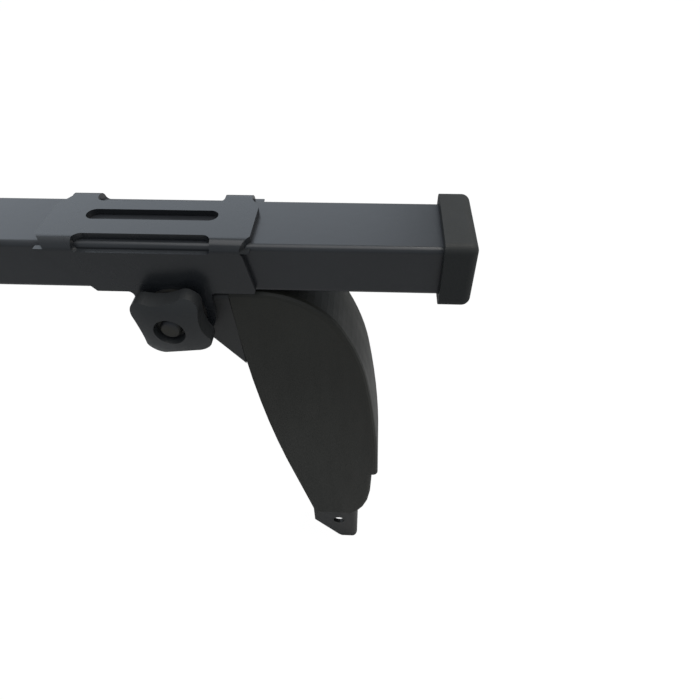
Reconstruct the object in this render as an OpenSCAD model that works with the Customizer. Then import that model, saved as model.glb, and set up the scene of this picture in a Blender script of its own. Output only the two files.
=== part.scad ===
// Roof rack crossbar: a rectangular steel tube carried by two clamp-on feet.
// Each foot has a pressed saddle over the bar, a pressed channel leg below it,
// a moulded cover round the leg and a four-lobed knob on a carriage bolt.
// X runs along the bar, Y across it with the knobs on the -Y side, Z is up.
// The origin is the middle of the bounding box's base, level with the leg tips.

/* [Bar] */
// Length over both end caps
overall_len = 1200; // [900:10:1500]
// Width of the tube across the car's travel
bar_w = 30; // [28:1:34]
// Height of the tube
bar_h = 20; // [18:1:24]
// Wall thickness of the tube
bar_wall = 1.5; // [1.2:0.1:2]
// Outer corner radius of the tube
bar_corner_r = 2; // [1.6:0.1:2]

/* [End caps] */
// How far the cap's sleeve stands proud of the tube
cap_proud = 3.1; // [2.2:0.1:3.2]
// Length of the cap along the bar
cap_len = 11.5; // [9:0.5:20]
// Thickness of the cap's end wall
cap_end = 2.5; // [2:0.1:4]
// Rounding of the cap's edges and corners
cap_edge_r = 3.2; // [2:0.1:4]
// How far the cap's inner plug reaches into the tube
plug_len = 14; // [8:1:20]

/* [Feet] */
// From the bar's end to the middle of the saddle
foot_inset = 114.7; // [110:0.1:300]
// Ground to the underside of the bar
foot_h = 204; // [200:1:208]
// Free play between the bar and what slides on it
slide_gap = 0.1; // [0.05:0.01:0.2]

/* [Saddle] */
// Length of the saddle along the bar
saddle_len = 75; // [74:0.5:78]
// Sheet thickness of the saddle
saddle_t = 2.2; // [2:0.1:2.5]
// Length of the slot in the saddle's top
slot_len = 48; // [30:1:52]
// Width of the slot in the saddle's top
slot_w = 6.5; // [4:0.5:8]

/* [Leg] */
// Sheet thickness of the leg
leg_t = 2.5; // [2:0.1:3]
// Width of the leg's channel inside the cover
leg_w = 24.8; // [23:0.1:25]
// Radius of the fixing hole at the leg's tip
tip_hole_r = 3.3; // [2.5:0.1:3.5]

/* [Cover] */
// Wall thickness of the cover
cover_wall = 2.4; // [2:0.1:2.4]
// Rounding of the cover's front and back edges
cover_edge_r = 2.3; // [1:0.1:3]

/* [Knob] */
// Distance of the lobe centres from the knob's axis
lobe_reach = 11.2; // [10.5:0.1:11.6]
// Radius of each lobe
lobe_r = 4.6; // [4.2:0.1:5]
// Length of the knob along its axis
knob_len = 9.8; // [9:0.1:14]
// Radius of the recess in the knob's front
recess_r = 5.8; // [5:0.1:6.2]

/* [Hidden] */
$fn = 64;
eps = 0.01;

// Bar and caps
bar_z = foot_h + bar_h / 2;
cap_rim_x = overall_len / 2 - cap_len;
tube_end_x = overall_len / 2 - cap_end - 0.1;
tube_bore_r = 0.5;
cap_fit = 0.1;
plug_wall = 1.6;
plug_gap = 0.2;
plug_rib = 0.12;

// Foot frame: origin on the bar's underside, on its centre line, mid saddle
foot_x = overall_len / 2 - foot_inset;
half_w = bar_w / 2 + slide_gap;
plate_v = half_w + saddle_t;

// Clamp bolt and what sits on it
bolt_u = 6.5;
bolt_w = -8.5;
shank_r = 4;
bolt_len = 45;
bolt_end_chamfer = 0.8;
head_r = 10;
head_h = 4.5;
neck = 8;
neck_len = 4.4;
hole_r = 4.25;
neck_hole = 8.3;
washer_rad = 11;
washer_t = 1.6;

// The bar sits off the middle, because the knob reaches further than the bolt's head
bar_y = (washer_t + knob_len - head_h) / 2;

// Saddle outline, in the plane of its side plates
saddle_lift = slide_gap;
bend_in_r = 2;
bend_out_r = bend_in_r + saddle_t;
saddle_half = saddle_len / 2;
strap_in = 24;
strap_out = 34;
plate_top = 18;
plate_low = 0.8;
tab_r = 14.3;
tab_fillet = 2;
front_window_v = -12;
back_window_v = 9;
window_r = 3;

// Leg outline
arm_top = -1.6;
arm_r = 13.5;
joggle_u = 26.2;
joggle_low_u = 27.6;
leg_half = leg_w / 2;
tip_u = 47.8;
tip_out_u = 73.4;
tip_hole_u = 62.5;
tip_hole_w = -183.3;
tip_bend_r = 3.2;
tip_bend_top = -167.5;
tip_toe_u = 63.9;
tip_heel_w = -183.2;
pad_len = 32;
pad_w = 24;
pad_mid_u = 9.5;

// Cover outline: three tangent arcs outboard, one long arc inboard
top_w = -0.5;
arc_u = 36.3;
arc_r = [35.8, 102, 500];
arc_turn = [62.3, 18.6, 8.5];
inboard_c = [625.05, 2.74];
inboard_r = 598.6;
cover_half = 15;
side_end_w = -128.7;
tongue_top_w = -112;
tongue_low_w = -170.7;
leg_inset = 2.9;
cover_screw_at = [[50, -34], [63, -112]];
screw_r = 2;
screw_head_r = 4;
screw_head_h = 2.6;
screw_len = 9.5;

// Knob
lobe_turn = 52;
flute_in_r = 11.3;
flute_bite = 0.04;
knob_back_v = -(plate_v + washer_t);
hub_r = 9.5;
hub_proud = 0.8;
nut_af = 13;
nut_h = 6.5;
nut_fit = 0.03;
thread_fit = 0.05;
nut_sink = 0.3;
recess_floor_r = 5;
dome_r = 4;
crown_r = 34;
dome_over = 0.4;
lobe_back_r = 0.6;
core_r = 2.6;
core_depth = 6;
core_out = 0.6;

// Centres of the cover's outboard arcs
function heading(a) = [sin(a), cos(a)];
arc_c0 = [arc_u, top_w - arc_r[0]];
arc_a1 = arc_turn[0];
arc_c1 = arc_c0 + (arc_r[0] - arc_r[1]) * heading(arc_a1);
arc_a2 = arc_a1 + arc_turn[1];
arc_c2 = arc_c1 + (arc_r[1] - arc_r[2]) * heading(arc_a2);
arc_a3 = arc_a2 + arc_turn[2];

function arc_pts(c, r, from, to, n) =
  [for (i = [0 : n]) c + r * heading(from + (to - from) * i / n)];

// Outboard edge of the cover set in by d, from its top down to the side's end
function outboard(d) = concat(
  arc_pts(arc_c0, arc_r[0] - d, 0, arc_a1, 12),
  arc_pts(arc_c1, arc_r[1] - d, arc_a1 + 2, arc_a2, 6),
  arc_pts(arc_c2, arc_r[2] - d, arc_a2 + 1.2, arc_a3, 6)
);

// One point of the inboard edge at height w, set in by d
function inboard_at(w, d) =
  let (r = inboard_r - d)
  [inboard_c[0] - sqrt(r * r - (w - inboard_c[1]) * (w - inboard_c[1])), w];

// Inboard edge from height w0 to w1, set in by d
function inboard(w0, w1, d, n) =
  [for (i = [0 : n]) inboard_at(w0 + (w1 - w0) * i / n, d)];

// A flat shape in X and Z, given thickness along Y
module slab(v0, v1) {
  translate([0, v1, 0])
    rotate([90, 0, 0])
      linear_extrude(height = v1 - v0)
        children();
}

// A flat shape in Y and Z, run along X
module run_x(x0, x1) {
  translate([x0, 0, 0])
    rotate([90, 0, 90])
      linear_extrude(height = x1 - x0)
        children();
}

// A round bar along Y at a point of the foot's side view
module rod_y(u, w, r, v0, v1) {
  translate([u, v1, w])
    rotate([90, 0, 0])
      cylinder(r = r, h = v1 - v0);
}

module rounded_rect(w, h, r) {
  square([w - 2 * r, h], center = true);
  square([w, h - 2 * r], center = true);
  for (x = [-1, 1])
    for (y = [-1, 1])
      translate([x * (w / 2 - r), y * (h / 2 - r)])
        circle(r = r);
}

// Puts a part of the foot at its place; side is 1 for +X and -1 for -X
module at_foot(side) {
  translate([side * foot_x, bar_y, foot_h])
    mirror([side < 0 ? 1 : 0, 0, 0])
      children();
}

// Rectangular steel tube
module bar() {
  color([0.07, 0.07, 0.08])
    translate([0, bar_y, bar_z])
      run_x(-tube_end_x, tube_end_x)
        difference() {
          rounded_rect(bar_w, bar_h, bar_corner_r);
          rounded_rect(bar_w - 2 * bar_wall, bar_h - 2 * bar_wall, tube_bore_r);
        }
}

module cap_body() {
  out_w = bar_w + 2 * cap_proud;
  out_h = bar_h + 2 * cap_proud;
  in_w = bar_w - 2 * bar_wall - 2 * plug_gap;
  in_h = bar_h - 2 * bar_wall - 2 * plug_gap;
  floor_x = overall_len / 2 - cap_end;
  difference() {
    // Sleeve with rounded long edges and ball corners at its outer end
    hull() {
      run_x(cap_rim_x, overall_len / 2 - cap_edge_r)
        rounded_rect(out_w, out_h, cap_edge_r, $fn = 32);
      for (y = [-1, 1])
        for (z = [-1, 1])
          translate([
            overall_len / 2 - cap_edge_r,
            y * (out_w / 2 - cap_edge_r),
            z * (out_h / 2 - cap_edge_r)
          ])
            sphere(r = cap_edge_r, $fn = 32);
    }
    run_x(cap_rim_x - 1, floor_x)
      rounded_rect(bar_w + 2 * cap_fit, bar_h + 2 * cap_fit, bar_corner_r);
  }
  // Hollow plug inside the tube, with crush ribs on its broad faces
  run_x(floor_x - plug_len, floor_x + eps)
    difference() {
      rounded_rect(in_w, in_h, 1);
      rounded_rect(in_w - 2 * plug_wall, in_h - 2 * plug_wall, 0.4);
    }
  for (y = [-8, 0, 8])
    for (z = [-1, 1])
      translate([0, y, z * in_h / 2])
        run_x(floor_x - plug_len + 2, floor_x)
          square([1.2, 2 * plug_rib], center = true);
}

// Sleeve cap on the +X end
module cap_r() {
  color([0.16, 0.16, 0.16])
    translate([0, bar_y, bar_z])
      cap_body();
}

// Sleeve cap on the -X end
module cap_l() {
  color([0.16, 0.16, 0.16])
    translate([0, bar_y, bar_z])
      mirror([1, 0, 0])
        cap_body();
}

// Outline of the saddle's side plate with its two straps and its bolt tab
module saddle_plate() {
  polygon([
    [-strap_out, bar_h + 8],
    [strap_out, bar_h + 8],
    [strap_out, plate_top + 0.6],
    [strap_out + 0.9, plate_top - 0.6],
    [saddle_half, plate_low + 1.6],
    [saddle_half - 0.6, plate_low],
    [-21, plate_low],
    [-strap_out, plate_top - 0.5]
  ]);
  translate([bolt_u, bolt_w])
    circle(r = tab_r);
  translate([bolt_u - tab_r, bolt_w])
    square([2 * tab_r, plate_low - bolt_w + 1]);
  // Fillets between the plate's lower edge and the tab
  for (s = [-1, 1])
    translate([bolt_u + s * (tab_r + tab_fillet), plate_low - tab_fillet])
      difference() {
        translate([s > 0 ? -tab_fillet - 1 : 0, 0])
          square([tab_fillet + 1, tab_fillet + 1]);
        circle(r = tab_fillet);
      }
}

// Cut-outs of the saddle's top seen from above: windows and clipped corners
module saddle_top_cuts() {
  edge = plate_v + 3;
  for (win = [[front_window_v, -1], [back_window_v, 1]])
    translate([0, win[0] + win[1] * window_r]) {
      translate([-strap_in, win[1] > 0 ? 0 : -edge])
        square([2 * strap_in, edge]);
      translate([-strap_in + window_r, -window_r])
        square([2 * (strap_in - window_r), 2 * window_r]);
      for (s = [-1, 1])
        translate([s * (strap_in - window_r), 0])
          circle(r = window_r);
    }
  for (s = [-1, 1]) {
    polygon([
      [s * (saddle_half + 1), -12.4],
      [s * saddle_half, -12.4],
      [s * strap_out, -17.2],
      [s * strap_out, -edge],
      [s * (saddle_half + 1), -edge]
    ]);
    polygon([
      [s * (saddle_half + 1), 6],
      [s * saddle_half, 6],
      [s * strap_out, 12],
      [s * strap_out, edge],
      [s * (saddle_half + 1), edge]
    ]);
  }
}

// Pressed saddle: a sheet folded over the bar's top and down both sides
module saddle_body() {
  in_top = bar_h + saddle_lift;
  out_top = in_top + saddle_t;
  low = bolt_w - tab_r - 2;
  difference() {
    run_x(-saddle_half, saddle_half)
      difference() {
        union() {
          translate([-plate_v, low])
            square([2 * plate_v, out_top - bend_out_r - low]);
          translate([0, out_top - bend_out_r - 5])
            rounded_rect(2 * plate_v, 2 * (bend_out_r + 5), bend_out_r);
        }
        translate([-half_w, low - 1])
          square([2 * half_w, in_top - bend_in_r - low + 1]);
        translate([0, in_top - bend_in_r - 5])
          rounded_rect(2 * half_w, 2 * (bend_in_r + 5), bend_in_r);
      }
    // Side plates trimmed to their outline, front and back
    for (v = [-1, 1])
      translate([0, v * (half_w + 2), 0])
        slab(-4, 4)
          difference() {
            translate([-saddle_half - 1, low - 1])
              square([saddle_len + 2, plate_top + 1.4 - low]);
            saddle_plate();
          }
    translate([0, 0, bar_h - 1])
      linear_extrude(height = 6)
        saddle_top_cuts();
    // Windows run on over the bend and down the sides
    for (v = [-1, 1])
      translate([0, v * (half_w + 2), 0])
        slab(-3.2, 3.2)
          translate([0, plate_top + 5])
            rounded_rect(2 * strap_in, 10, 1.5);
    // Slot in the top
    translate([0, 0, bar_h - 1])
      linear_extrude(height = 6) {
        square([slot_len - slot_w, slot_w], center = true);
        for (s = [-1, 1])
          translate([s * (slot_len - slot_w) / 2, 0])
            circle(r = slot_w / 2);
      }
    // Round hole in front and square hole behind for the carriage bolt
    rod_y(bolt_u, bolt_w, hole_r, -plate_v - 1, 0);
    translate([bolt_u, plate_v, bolt_w])
      cube([neck_hole, 2 * saddle_t + 2, neck_hole], center = true);
  }
}

module saddle_r() {
  color([0.06, 0.06, 0.07])
    at_foot(1)
      saddle_body();
}

module saddle_l() {
  color([0.06, 0.06, 0.07])
    at_foot(-1)
      saddle_body();
}

// Arm of the leg: the part under the saddle that the clamp bolt goes through
module arm_outline() {
  intersection() {
    union() {
      translate([bolt_u, bolt_w])
        circle(r = arm_r);
      polygon([
        [bolt_u - arm_r, bolt_w],
        [bolt_u - arm_r, arm_top],
        [joggle_u, arm_top],
        [joggle_low_u, -39],
        [13.3, -19.6],
        [bolt_u, bolt_w]
      ]);
    }
    translate([-40, arm_top - 60])
      square([120, 60]);
  }
}

// Outboard edge of the leg below the cover's arcs, moved in by d
function leg_foot_edge(d) = [
  [80.6 - d, -136],
  [78.6 - d, -148],
  [75.8 - d, -158],
  [tip_out_u - d, -167]
];

// Leg inside the cover: the channel's web follows the outboard edge
module leg_outline() {
  polygon(concat(
    [[joggle_u - leg_t, arm_top], [29, arm_top]],
    outboard(leg_inset),
    leg_foot_edge(0),
    [[tip_out_u, 1 - foot_h], [tip_out_u - 1, -foot_h], [tip_toe_u, -foot_h]],
    [[tip_toe_u - 1.8, 1.4 - foot_h], [tip_u, tip_heel_w], [tip_u, -161]],
    inboard(-158, -44, 3, 8),
    [[joggle_u - leg_t, -33.7]]
  ));
}

// Hollow of the channel, open towards the middle of the car and at the tip
module leg_hollow() {
  polygon(concat(
    [[-30, arm_top - leg_t], [28.6, arm_top - leg_t]],
    outboard(leg_inset + leg_t),
    leg_foot_edge(leg_t),
    [[tip_out_u - leg_t, -foot_h - 5], [-30, -foot_h - 5]]
  ));
}

module leg_body() {
  difference() {
    union() {
      intersection() {
        slab(-half_w, half_w)
          arm_outline();
        // The bend between the arm's flanges and its top
        run_x(-40, joggle_low_u)
          translate([0, arm_top - 40])
            rounded_rect(2 * half_w, 80, 2.5);
      }
      slab(-leg_half, leg_half)
        leg_outline();
    }
    // Wide hollow under the saddle
    slab(leg_t - half_w, half_w - leg_t)
      translate([-40, arm_top - leg_t - 60])
        square([joggle_u - leg_t + 40, 60]);
    // Narrow hollow inside the cover
    slab(leg_t - leg_half, leg_half - leg_t)
      leg_hollow();
    rod_y(bolt_u, bolt_w, hole_r, -half_w - 1, 0);
    translate([bolt_u, half_w, bolt_w])
      cube([neck_hole, 2 * leg_t + 2, neck_hole], center = true);
    // Fixing hole through both flanges at the tip
    rod_y(tip_hole_u, tip_hole_w, tip_hole_r, -leg_half - 1, leg_half + 1);
    // Bends between the flanges and the web where the tip shows
    for (v = [-1, 1])
      translate([tip_out_u - tip_bend_r, v * (leg_half - tip_bend_r), -foot_h - 1])
        linear_extrude(height = foot_h + 1 + tip_bend_top)
          difference() {
            translate([0, v > 0 ? 0 : -tip_bend_r - 1])
              square([tip_bend_r + 1, tip_bend_r + 1]);
            circle(r = tip_bend_r);
          }
    // Pilot holes for the cover's screws in the back flange
    for (p = cover_screw_at)
      rod_y(p[0], p[1], screw_r + 0.05, 0, leg_half + 1);
  }
}

module leg_r() {
  color([0.08, 0.08, 0.08])
    at_foot(1)
      leg_body();
}

module leg_l() {
  color([0.08, 0.08, 0.08])
    at_foot(-1)
      leg_body();
}

// Rubber strip between the leg's top and the bar
module bar_pad_body() {
  translate([pad_mid_u - pad_len / 2, -pad_w / 2, arm_top])
    cube([pad_len, pad_w, -arm_top - slide_gap]);
}

module bar_pad_r() {
  color([0.05, 0.05, 0.05])
    at_foot(1)
      bar_pad_body();
}

module bar_pad_l() {
  color([0.05, 0.05, 0.05])
    at_foot(-1)
      bar_pad_body();
}

// Cover outline above the end of its side wall, set in by d
module cover_upper(d) {
  polygon(concat(
    outboard(d),
    inboard(side_end_w + d, top_w - d, 0, 8)
  ));
}

// Tongue of the cover's front and back below the side wall, set in by d
module cover_lower(d) {
  polygon(concat(
    [[82.0 - d, tongue_top_w - d], [81.4 - d, -132], [80.9 - d, -145]],
    [[79.7 - d, -154], [77.1 - 0.9 * d, -162 + 0.3 * d]],
    [[73.8 - 0.6 * d, -167.7 + 0.8 * d], [70, tongue_low_w + d]],
    [[50.4, tongue_low_w + d], [49, -169.3 + d]],
    inboard(-160, tongue_top_w - d, 0, 4)
  ));
}

// How far the cover's edge is set in at step k of its rounding
function round_in(k) = cover_edge_r * (1 - sin(k * 30));
function round_back(k) = cover_edge_r * (1 - cos(k * 30));

// Full body of the cover with rounded front and back edges
module cover_solid() {
  hull()
    for (k = [0 : 3])
      slab(round_back(k) - cover_half, cover_half - round_back(k))
        cover_upper(round_in(k));
  hull()
    for (k = [0 : 3])
      slab(round_back(k) - cover_half, cover_half - round_back(k))
        cover_lower(round_in(k));
}

// Moulded cover: a shell open towards the middle of the car and at its foot
module cover_body() {
  difference() {
    cover_solid();
    slab(cover_wall - cover_half, cover_half - cover_wall)
      polygon(concat(
        [[0, 3], [arc_u, 3]],
        outboard(cover_wall),
        [[110, side_end_w - eps], [110, tongue_low_w - 5], [0, tongue_low_w - 5]]
      ));
    for (p = cover_screw_at)
      rod_y(p[0], p[1], screw_r + 0.2, 0, cover_half + 1);
  }
}

module cover_r() {
  color([0.1, 0.1, 0.095])
    at_foot(1)
      cover_body();
}

module cover_l() {
  color([0.1, 0.1, 0.095])
    at_foot(-1)
      cover_body();
}

// Two pan-head screws through the cover's back wall into the leg's flange
module cover_screws_body() {
  for (p = cover_screw_at) {
    rod_y(p[0], p[1], screw_r, cover_half - screw_len + 1.5, cover_half + eps);
    intersection() {
      rod_y(p[0], p[1], screw_head_r, cover_half, cover_half + screw_head_h);
      translate([p[0], cover_half - 2.2, p[1]])
        sphere(r = 4.85);
    }
    // Taper of the screw's point
    translate([p[0], cover_half - screw_len + 1.5, p[1]])
      rotate([90, 0, 0])
        cylinder(r1 = screw_r, r2 = 0.4, h = 1.5);
  }
}

module cover_screws_r() {
  color([0.45, 0.45, 0.47])
    at_foot(1)
      cover_screws_body();
}

module cover_screws_l() {
  color([0.45, 0.45, 0.47])
    at_foot(-1)
      cover_screws_body();
}

// Carriage bolt: domed head behind, square neck, round shank towards the knob
module bolt_body() {
  dome = (head_r * head_r + head_h * head_h) / (2 * head_h);
  tip_v = plate_v - bolt_len;
  rod_y(bolt_u, bolt_w, shank_r, tip_v + bolt_end_chamfer, plate_v + eps);
  translate([bolt_u, tip_v + bolt_end_chamfer, bolt_w])
    rotate([90, 0, 0])
      cylinder(r1 = shank_r, r2 = shank_r - bolt_end_chamfer, h = bolt_end_chamfer);
  translate([bolt_u - neck / 2, plate_v - neck_len, bolt_w - neck / 2])
    cube([neck, neck_len + eps, neck]);
  intersection() {
    rod_y(bolt_u, bolt_w, head_r, plate_v, plate_v + head_h);
    translate([bolt_u, plate_v + head_h - dome, bolt_w])
      sphere(r = dome);
  }
}

module bolt_r() {
  color([0.55, 0.56, 0.58])
    at_foot(1)
      bolt_body();
}

module bolt_l() {
  color([0.55, 0.56, 0.58])
    at_foot(-1)
      bolt_body();
}

// Flat washer between the saddle and the knob
module washer_body() {
  difference() {
    rod_y(bolt_u, bolt_w, washer_rad, knob_back_v, -plate_v);
    rod_y(bolt_u, bolt_w, hole_r, knob_back_v - 1, 1 - plate_v);
  }
}

module washer_r() {
  color([0.5, 0.51, 0.53])
    at_foot(1)
      washer_body();
}

module washer_l() {
  color([0.5, 0.51, 0.53])
    at_foot(-1)
      washer_body();
}

// Four lobes joined by wide shallow flutes, each all but tangent to its two lobes
module lobes_outline() {
  reach = lobe_reach * cos(45);
  gap = flute_in_r - lobe_r;
  flute_at = (gap * gap - lobe_reach * lobe_reach) / (2 * (gap - reach));
  flute_r = flute_at - flute_in_r;
  far = sqrt(pow(flute_at - reach, 2) + reach * reach);
  touch_x = reach + (flute_at - reach) * lobe_r / far;
  touch_y = reach - reach * lobe_r / far;
  difference() {
    circle(r = sqrt(touch_x * touch_x + touch_y * touch_y));
    for (k = [0 : 3])
      rotate(lobe_turn + 45 + 90 * k)
        translate([flute_at, 0])
          circle(r = flute_r + flute_bite);
  }
  for (k = [0 : 3])
    rotate(lobe_turn + 90 * k)
      translate([lobe_reach, 0])
        circle(r = lobe_r);
}

// Half section of the knob: hub behind, crowned front, softly rounded lobe backs
module knob_section() {
  intersection() {
    knob_blank();
    translate([0, knob_len - sqrt(crown_r * crown_r - recess_r * recess_r)])
      circle(r = crown_r, $fn = 256);
  }
}

module knob_blank() {
  out_r = lobe_reach + lobe_r;
  dome_x = out_r - dome_r + dome_over;
  dome_z = knob_len - dome_r;
  square([hub_r, knob_len]);
  translate([0, hub_proud])
    square([dome_x, knob_len - hub_proud]);
  translate([0, hub_proud])
    square([out_r - lobe_back_r, dome_z - hub_proud]);
  translate([0, hub_proud + lobe_back_r])
    square([out_r + dome_over, dome_z - hub_proud - lobe_back_r]);
  translate([out_r - lobe_back_r, hub_proud + lobe_back_r])
    circle(r = lobe_back_r);
  intersection() {
    translate([dome_x, dome_z])
      circle(r = dome_r);
    translate([hub_r, dome_z - eps])
      square([2 * dome_r, dome_r + 1]);
  }
}

// The knob about its own axis, its front towards +Z and its back at Z = 0
module knob_turned() {
  floor_z = nut_h + nut_sink;
  difference() {
    intersection() {
      translate([0, 0, -1])
        linear_extrude(height = knob_len + 2)
          lobes_outline();
      rotate_extrude()
        knob_section();
    }
    // Lobes cored from behind
    for (k = [0 : 3])
      rotate(lobe_turn + 90 * k)
        translate([lobe_reach + core_out, 0, -1])
          cylinder(r = core_r, h = core_depth + 1);
    // Pocket for the nut, and the dished recess in front of it
    translate([0, 0, -1])
      cylinder(r = (nut_af / 2 + nut_fit) / cos(30), h = floor_z + 1, $fn = 6);
    translate([0, 0, floor_z - eps])
      cylinder(r1 = recess_floor_r, r2 = recess_r, h = knob_len - floor_z + 2 * eps);
  }
}

// Puts something turned about Z on the clamp bolt's axis, facing the front
module on_bolt() {
  translate([bolt_u, knob_back_v, bolt_w])
    rotate([90, 0, 0])
      children();
}

module knob_r() {
  color([0.05, 0.055, 0.06])
    at_foot(1)
      on_bolt()
        knob_turned();
}

module knob_l() {
  color([0.05, 0.055, 0.06])
    at_foot(-1)
      on_bolt()
        knob_turned();
}

// Hexagon nut moulded into the knob
module knob_nut_body() {
  difference() {
    translate([0, 0, nut_sink])
      cylinder(r = nut_af / 2 / cos(30), h = nut_h, $fn = 6);
    translate([0, 0, -1])
      cylinder(r = shank_r + thread_fit, h = nut_h + 3);
  }
}

module knob_nut_r() {
  color([0.6, 0.52, 0.3])
    at_foot(1)
      on_bolt()
        knob_nut_body();
}

module knob_nut_l() {
  color([0.6, 0.52, 0.3])
    at_foot(-1)
      on_bolt()
        knob_nut_body();
}

bar();
cap_r();
cap_l();
saddle_r();
leg_r();
bar_pad_r();
cover_r();
cover_screws_r();
bolt_r();
washer_r();
knob_r();
knob_nut_r();
saddle_l();
leg_l();
bar_pad_l();
cover_l();
cover_screws_l();
bolt_l();
washer_l();
knob_l();
knob_nut_l();
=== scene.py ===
import math

import bmesh
import bpy
from mathutils import Matrix, Vector

bl_info = {
    "name": "Roof Rack Crossbar",
    "version": (1, 0, 0),
    "blender": (4, 5, 0),
    "location": "3D View > Sidebar > Crossbar",
    "description": "Finishes the pieces of a roof rack crossbar and sets its studio",
    "category": "Object",
}

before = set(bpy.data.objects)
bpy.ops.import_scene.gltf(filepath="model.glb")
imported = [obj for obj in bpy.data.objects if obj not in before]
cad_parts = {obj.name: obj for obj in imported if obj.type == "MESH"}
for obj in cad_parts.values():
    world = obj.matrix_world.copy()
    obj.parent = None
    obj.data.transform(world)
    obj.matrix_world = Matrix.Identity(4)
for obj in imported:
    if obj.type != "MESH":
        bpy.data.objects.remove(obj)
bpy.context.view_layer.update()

SIDES = ("r", "l")
# Where the studio's lights point
LIT_POINT = (0.48, 0, 0.18)
# Each light's name, place, width and height in metres, power in watts and colour
SOFTBOXES = (
    ("Left softbox", (-0.2, 1.25, 1.1), 2, 1, 7, (0.8, 0.89, 1)),
    ("Top softbox", (0.5, -0.1, 1.7), 1.4, 1.4, 9, (1, 1, 1)),
    ("Right softbox", (1.25, 0.3, 1.4), 0.9, 0.9, 14, (1, 0.94, 0.86)),
)
# How pale the floor is in the light that it gives back
FLOOR_GREY = 0.38
# Brings the floor that the camera sees up to the backdrop's white
SEEN_WHITE = 1.05


# Materials


def new_material(name):
    material = bpy.data.materials.new(name)
    material.use_nodes = True
    tree = material.node_tree
    shader = tree.nodes["Principled BSDF"]
    return material, tree, shader


def add(tree, kind, **values):
    node = tree.nodes.new(kind)
    for key, value in values.items():
        setattr(node, key, value)
    return node


def object_coords(tree, scale=(1, 1, 1)):
    coords = add(tree, "ShaderNodeTexCoord")
    mapping = add(tree, "ShaderNodeMapping")
    mapping.inputs["Scale"].default_value = scale
    tree.links.new(coords.outputs["Object"], mapping.inputs["Vector"])
    return mapping.outputs["Vector"]


def noise(tree, vector, scale, detail=3, roughness=0.5):
    node = add(tree, "ShaderNodeTexNoise")
    node.inputs["Scale"].default_value = scale
    node.inputs["Detail"].default_value = detail
    node.inputs["Roughness"].default_value = roughness
    tree.links.new(vector, node.inputs["Vector"])
    return node.outputs["Fac"]


def ramp(tree, fac, stops):
    node = add(tree, "ShaderNodeValToRGB")
    elements = node.color_ramp.elements
    while len(elements) < len(stops):
        elements.new(0.5)
    for element, (place, value) in zip(elements, stops):
        element.position = place
        colour = value if isinstance(value, tuple) else (value, value, value)
        element.color = (*colour, 1)
    tree.links.new(fac, node.inputs["Fac"])
    return node.outputs["Color"]


def remap(tree, fac, low, high, to_low, to_high):
    node = add(tree, "ShaderNodeMapRange")
    node.inputs["From Min"].default_value = low
    node.inputs["From Max"].default_value = high
    node.inputs["To Min"].default_value = to_low
    node.inputs["To Max"].default_value = to_high
    tree.links.new(fac, node.inputs["Value"])
    return node.outputs["Result"]


def bump(tree, height, strength, distance, normal=None):
    node = add(tree, "ShaderNodeBump")
    node.inputs["Strength"].default_value = strength
    node.inputs["Distance"].default_value = distance
    tree.links.new(height, node.inputs["Height"])
    if normal is not None:
        tree.links.new(normal, node.inputs["Normal"])
    return node.outputs["Normal"]


def mix(tree, fac, a, b):
    node = add(tree, "ShaderNodeMix", data_type="RGBA")
    tree.links.new(fac, node.inputs["Factor"])
    for socket, value in ((node.inputs["A"], a), (node.inputs["B"], b)):
        if isinstance(value, tuple):
            socket.default_value = (*value, 1)
        else:
            tree.links.new(value, socket)
    return node.outputs["Result"]


def blotches(tree, vector, scale):
    """Slow cloudy variation from 0 to 1."""
    return remap(tree, noise(tree, vector, scale, 4, 0.55), 0.35, 0.7, 0, 1)


def painted_steel(name, colour, rough, peel, specular=0.5):
    """Stoved black paint: faint orange peel, dust specks and hazy patches."""
    material, tree, shader = new_material(name)
    vector = object_coords(tree)
    cloud = blotches(tree, vector, 14)
    specks = remap(tree, noise(tree, vector, 900, 2, 0.5), 0.7, 0.78, 0, 0.35)
    lighter = tuple(1.3 * c + 0.0015 for c in colour)
    dust = tuple(2.2 * c + 0.01 for c in colour)
    base = mix(tree, specks, mix(tree, cloud, colour, lighter), dust)
    tree.links.new(base, shader.inputs["Base Color"])
    tree.links.new(remap(tree, cloud, 0, 1, rough - 0.02, rough + 0.05), shader.inputs["Roughness"])
    wave = bump(tree, noise(tree, vector, 260, 2, 0.4), peel, 0.0002)
    fine = bump(tree, noise(tree, vector, 1400, 2, 0.5), peel * 0.6, 0.00004, wave)
    tree.links.new(fine, shader.inputs["Normal"])
    shader.inputs["Specular IOR Level"].default_value = specular
    return material


def moulded_plastic(name, colour, rough, grain, specular=0.4):
    """Moulded plastic with a fine spark-eroded grain and faint flow marks."""
    material, tree, shader = new_material(name)
    vector = object_coords(tree)
    cells = add(tree, "ShaderNodeTexVoronoi")
    cells.inputs["Scale"].default_value = 1500
    tree.links.new(vector, cells.inputs["Vector"])
    cloud = blotches(tree, vector, 22)
    flow = blotches(tree, object_coords(tree, (1, 1, 0.15)), 160)
    darker = tuple(0.78 * c for c in colour)
    tree.links.new(mix(tree, cloud, colour, darker), shader.inputs["Base Color"])
    tree.links.new(remap(tree, flow, 0, 1, rough - 0.04, rough + 0.04), shader.inputs["Roughness"])
    tree.links.new(bump(tree, cells.outputs["Distance"], grain, 0.00012), shader.inputs["Normal"])
    shader.inputs["Specular IOR Level"].default_value = specular
    return material


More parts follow.
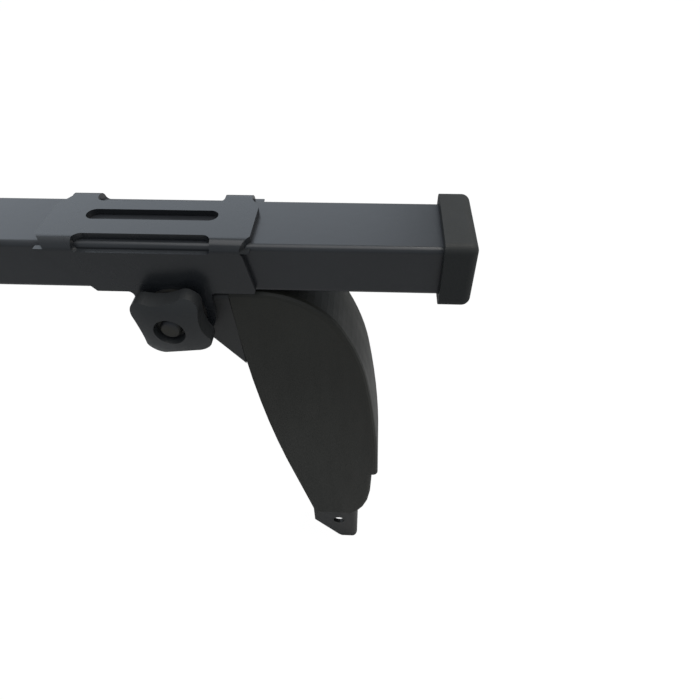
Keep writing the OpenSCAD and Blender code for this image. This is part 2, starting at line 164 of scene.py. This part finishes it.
def black_zinc(name):
    """Black passivated zinc on the fasteners, with a faint olive bloom."""
    material, tree, shader = new_material(name)
    vector = object_coords(tree)
    cloud = blotches(tree, vector, 180)
    grain = noise(tree, vector, 2200, 2, 0.5)
    base = mix(tree, cloud, (0.035, 0.036, 0.04), (0.05, 0.048, 0.04))
    tree.links.new(base, shader.inputs["Base Color"])
    tree.links.new(remap(tree, cloud, 0, 1, 0.34, 0.46), shader.inputs["Roughness"])
    tree.links.new(bump(tree, grain, 0.15, 0.00004), shader.inputs["Normal"])
    shader.inputs["Metallic"].default_value = 0.7
    return material


def pad_rubber(name):
    material, tree, shader = new_material(name)
    vector = object_coords(tree)
    grain = noise(tree, vector, 900, 3, 0.6)
    tree.links.new(ramp(tree, grain, [(0.3, 0.012), (0.75, 0.022)]), shader.inputs["Base Color"])
    tree.links.new(remap(tree, grain, 0.3, 0.7, 0.7, 0.82), shader.inputs["Roughness"])
    tree.links.new(bump(tree, grain, 0.3, 0.0001), shader.inputs["Normal"])
    return material


def finish_node(name, material, bevel=0.0, segments=3, angle=35):
    """Gives a node its material and eases its sharp edges."""
    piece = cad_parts[name]
    piece.data.materials.clear()
    piece.data.materials.append(material)
    if bevel:
        modifier = piece.modifiers.new("Eased edges", "BEVEL")
        modifier.width = bevel
        modifier.segments = segments
        modifier.limit_method = "ANGLE"
        modifier.angle_limit = math.radians(angle)
        modifier.harden_normals = True
        modifier.miter_outer = "MITER_ARC"
    return piece


def smooth_moulding(piece):
    """Shades a faceted moulding as one smooth skin, its flat faces kept flat."""
    for polygon in piece.data.polygons:
        polygon.use_smooth = True
    modifier = piece.modifiers.new("Flat faces first", "WEIGHTED_NORMAL")
    modifier.weight = 80


# Settings


class CrossbarColours(bpy.types.PropertyGroup):
    bar_paint: bpy.props.FloatVectorProperty(
        name="Bar paint", description="Colour of the bar's paint",
        subtype="COLOR", size=3, min=0, max=1,
        default=(0.013, 0.0145, 0.017))
    bar_rough: bpy.props.FloatProperty(
        name="Bar roughness", description="Roughness of the bar's paint",
        subtype="FACTOR", min=0, max=1,
        default=0.3)
    saddle_paint: bpy.props.FloatVectorProperty(
        name="Saddle paint", description="Colour of the saddles' paint",
        subtype="COLOR", size=3, min=0, max=1,
        default=(0.012, 0.0135, 0.0155))
    saddle_rough: bpy.props.FloatProperty(
        name="Saddle roughness", description="Roughness of the saddles' paint",
        subtype="FACTOR", min=0, max=1,
        default=0.26)
    leg_paint: bpy.props.FloatVectorProperty(
        name="Leg paint", description="Colour of the legs' paint",
        subtype="COLOR", size=3, min=0, max=1,
        default=(0.014, 0.014, 0.0135))
    cap_plastic: bpy.props.FloatVectorProperty(
        name="Cap plastic", description="Colour of the end caps",
        subtype="COLOR", size=3, min=0, max=1,
        default=(0.023, 0.0245, 0.0243))
    cover_plastic: bpy.props.FloatVectorProperty(
        name="Cover plastic", description="Colour of the leg covers",
        subtype="COLOR", size=3, min=0, max=1,
        default=(0.0165, 0.0168, 0.0128))
    knob_plastic: bpy.props.FloatVectorProperty(
        name="Knob plastic", description="Colour of the knobs",
        subtype="COLOR", size=3, min=0, max=1,
        default=(0.019, 0.0205, 0.0215))


class CrossbarStudio(bpy.types.PropertyGroup):
    lens: bpy.props.FloatProperty(
        name="Lens", description="Focal length on a 36 mm sensor",
        subtype="DISTANCE_CAMERA", unit="CAMERA", default=27.77, min=10, max=200)
    pitch: bpy.props.FloatProperty(
        name="Camera pitch", description="How far the camera looks down",
        subtype="ANGLE", default=0.8078637)
    yaw: bpy.props.FloatProperty(
        name="Camera yaw", description="How far the camera turns to the left",
        subtype="ANGLE", default=0.0580935)
    roll: bpy.props.FloatProperty(
        name="Camera roll", description="How far the camera leans",
        subtype="ANGLE", default=-0.0163402)
    place: bpy.props.FloatVectorProperty(
        name="Camera place", description="Where the camera stands",
        subtype="TRANSLATION", unit="LENGTH", size=3,
        default=(0.565121, -0.161674, 0.331760))


def colours():
    return bpy.context.scene.crossbar_colours


def studio():
    return bpy.context.scene.crossbar_studio


# Pieces


class CROSSBAR_OT_bar(bpy.types.Operator):
    """Paints the rectangular tube"""
    bl_idname = "crossbar.bar"
    bl_label = "Bar"

    def execute(self, context):
        paint = painted_steel("Bar paint", tuple(colours().bar_paint), colours().bar_rough, 0.12)
        finish_node("bar", paint, 0.0003, 2)
        return {"FINISHED"}


class CROSSBAR_OT_caps(bpy.types.Operator):
    """Finishes the end caps"""
    bl_idname = "crossbar.caps"
    bl_label = "End caps"

    def execute(self, context):
        plastic = moulded_plastic("Cap plastic", tuple(colours().cap_plastic), 0.58, 0.2, 0.2)
        for side in SIDES:
            smooth_moulding(finish_node("cap_" + side, plastic, 0.0004, 3, 40))
        return {"FINISHED"}


class CROSSBAR_OT_saddles(bpy.types.Operator):
    """Paints the pressed saddles over the bar"""
    bl_idname = "crossbar.saddles"
    bl_label = "Saddles"

    def execute(self, context):
        colour = tuple(colours().saddle_paint)
        paint = painted_steel("Saddle paint", colour, colours().saddle_rough, 0.1)
        for side in SIDES:
            finish_node("saddle_" + side, paint, 0.00045, 3)
        return {"FINISHED"}


class CROSSBAR_OT_legs(bpy.types.Operator):
    """Paints the pressed legs and their bar pads"""
    bl_idname = "crossbar.legs"
    bl_label = "Legs"

    def execute(self, context):
        paint = painted_steel("Leg paint", tuple(colours().leg_paint), 0.45, 0.15)
        rubber = pad_rubber("Pad rubber")
        for side in SIDES:
            finish_node("leg_" + side, paint, 0.0004, 2)
            finish_node("bar_pad_" + side, rubber, 0.0003, 2)
        return {"FINISHED"}


class CROSSBAR_OT_covers(bpy.types.Operator):
    """Finishes the moulded leg covers"""
    bl_idname = "crossbar.covers"
    bl_label = "Leg covers"

    def execute(self, context):
        plastic = moulded_plastic("Cover plastic", tuple(colours().cover_plastic), 0.5, 0.3, 0.35)
        for side in SIDES:
            smooth_moulding(finish_node("cover_" + side, plastic, 0.0003, 2, 50))
        return {"FINISHED"}


class CROSSBAR_OT_knobs(bpy.types.Operator):
    """Finishes the clamp knobs"""
    bl_idname = "crossbar.knobs"
    bl_label = "Knobs"

    def execute(self, context):
        plastic = moulded_plastic("Knob plastic", tuple(colours().knob_plastic), 0.38, 0.12, 0.45)
        for side in SIDES:
            finish_node("knob_" + side, plastic, 0.0006, 4, 25)
        return {"FINISHED"}


class CROSSBAR_OT_fasteners(bpy.types.Operator):
    """Finishes the bolts, nuts, washers and screws"""
    bl_idname = "crossbar.fasteners"
    bl_label = "Fasteners"

    def execute(self, context):
        zinc = black_zinc("Black zinc")
        for side in SIDES:
            for name in ("bolt_", "knob_nut_", "washer_", "cover_screws_"):
                finish_node(name + side, zinc, 0.0002, 2)
        return {"FINISHED"}


def area_light(name, place, size, size_y, power, colour):
    data = bpy.data.lights.new(name, "AREA")
    data.shape = "RECTANGLE"
    data.size = size
    data.size_y = size_y
    data.energy = power
    data.color = colour
    light = bpy.data.objects.new(name, data)
    bpy.context.scene.collection.objects.link(light)
    light.location = place
    aim = Vector(LIT_POINT) - Vector(place)
    light.rotation_euler = aim.to_track_quat("-Z", "Y").to_euler()


class CROSSBAR_OT_stage(bpy.types.Operator):
    """Sets the floor, the lights and the camera"""
    bl_idname = "crossbar.stage"
    bl_label = "Studio"

    def execute(self, context):
        scene = context.scene
        scene.view_settings.view_transform = "Standard"
        self.floor(scene)
        self.world(scene)
        for softbox in SOFTBOXES:
            area_light(*softbox)
        self.camera(scene)
        return {"FINISHED"}

    def floor(self, scene):
        mesh = bpy.data.meshes.new("Floor")
        outline = bmesh.new()
        bmesh.ops.create_grid(outline, x_segments=1, y_segments=1, size=4)
        outline.to_mesh(mesh)
        outline.free()
        floor = bpy.data.objects.new("Floor", mesh)
        scene.collection.objects.link(floor)
        floor.location.z = -0.0005
        floor.data.materials.append(self.floor_material())

    def floor_material(self):
        """White to the camera with a faint contact shadow, a quiet grey to everything else."""
        material, tree, shader = new_material("Pale floor")
        cloud = noise(tree, object_coords(tree), 3, 3, 0.5)
        greys = ramp(tree, cloud, [(0.3, FLOOR_GREY), (0.7, FLOOR_GREY + 0.03)])
        tree.links.new(greys, shader.inputs["Base Color"])
        shader.inputs["Roughness"].default_value = 0.9
        shader.inputs["Specular IOR Level"].default_value = 0.1
        white = add(tree, "ShaderNodeEmission")
        white.inputs["Color"].default_value = (1, 1, 1, 1)
        white.inputs["Strength"].default_value = SEEN_WHITE
        soft = add(tree, "ShaderNodeMixShader")
        soft.inputs["Fac"].default_value = 0.94
        tree.links.new(shader.outputs["BSDF"], soft.inputs[1])
        tree.links.new(white.outputs["Emission"], soft.inputs[2])
        choice = add(tree, "ShaderNodeMixShader")
        path = add(tree, "ShaderNodeLightPath")
        tree.links.new(path.outputs["Is Camera Ray"], choice.inputs["Fac"])
        tree.links.new(shader.outputs["BSDF"], choice.inputs[1])
        tree.links.new(soft.outputs["Shader"], choice.inputs[2])
        tree.links.new(choice.outputs["Shader"], tree.nodes["Material Output"].inputs["Surface"])
        return material

    def world(self, scene):
        world = bpy.data.worlds.new("Studio")
        scene.world = world
        world.use_nodes = True
        tree = world.node_tree
        tree.nodes.clear()
        output = add(tree, "ShaderNodeOutputWorld")
        seen = add(tree, "ShaderNodeBackground")
        seen.inputs["Color"].default_value = (1, 1, 1, 1)
        lit = add(tree, "ShaderNodeBackground")
        lit.inputs["Color"].default_value = (0.86, 0.93, 1, 1)
        lit.inputs["Strength"].default_value = 0.5
        choice = add(tree, "ShaderNodeMixShader")
        path = add(tree, "ShaderNodeLightPath")
        tree.links.new(path.outputs["Is Camera Ray"], choice.inputs["Fac"])
        tree.links.new(lit.outputs["Background"], choice.inputs[1])
        tree.links.new(seen.outputs["Background"], choice.inputs[2])
        tree.links.new(choice.outputs["Shader"], output.inputs["Surface"])

    def camera(self, scene):
        setting = studio()
        data = bpy.data.cameras.new("Camera")
        data.lens = setting.lens
        data.sensor_width = 36
        data.clip_start = 0.005
        camera = bpy.data.objects.new("Camera", data)
        scene.collection.objects.link(camera)
        right = Vector((math.cos(setting.yaw), math.sin(setting.yaw), 0))
        ahead = Vector((-math.sin(setting.yaw), math.cos(setting.yaw), 0))
        look = ahead * math.cos(setting.pitch) - Vector((0, 0, math.sin(setting.pitch)))
        up = right.cross(look)
        across = right * math.cos(setting.roll) + up * math.sin(setting.roll)
        upward = up * math.cos(setting.roll) - right * math.sin(setting.roll)
        turn = Matrix((across, upward, -look)).transposed()
        camera.matrix_world = Matrix.Translation(setting.place) @ turn.to_4x4()
        scene.camera = camera


class CROSSBAR_PT_panel(bpy.types.Panel):
    """The crossbar's pieces and settings"""
    bl_idname = "CROSSBAR_PT_panel"
    bl_label = "Roof rack crossbar"
    bl_space_type = "VIEW_3D"
    bl_region_type = "UI"
    bl_category = "Crossbar"

    def draw(self, context):
        for group in (colours(), studio()):
            for name in group.__annotations__:
                self.layout.prop(group, name)
        for operator in OPERATORS:
            self.layout.operator(operator.bl_idname)


OPERATORS = (
    CROSSBAR_OT_bar,
    CROSSBAR_OT_caps,
    CROSSBAR_OT_saddles,
    CROSSBAR_OT_legs,
    CROSSBAR_OT_covers,
    CROSSBAR_OT_knobs,
    CROSSBAR_OT_fasteners,
    CROSSBAR_OT_stage,
)
CLASSES = (CrossbarColours, CrossbarStudio, *OPERATORS, CROSSBAR_PT_panel)


def register():
    for item in CLASSES:
        bpy.utils.register_class(item)
    bpy.types.Scene.crossbar_colours = bpy.props.PointerProperty(type=CrossbarColours)
    bpy.types.Scene.crossbar_studio = bpy.props.PointerProperty(type=CrossbarStudio)


def unregister():
    del bpy.types.Scene.crossbar_studio
    del bpy.types.Scene.crossbar_colours
    for item in reversed(CLASSES):
        bpy.utils.unregister_class(item)


def main():
    register()
    bpy.ops.crossbar.bar()
    bpy.ops.crossbar.caps()
    bpy.ops.crossbar.saddles()
    bpy.ops.crossbar.legs()
    bpy.ops.crossbar.covers()
    bpy.ops.crossbar.knobs()
    bpy.ops.crossbar.fasteners()
    bpy.ops.crossbar.stage()


if __name__ == "__main__":
    main()
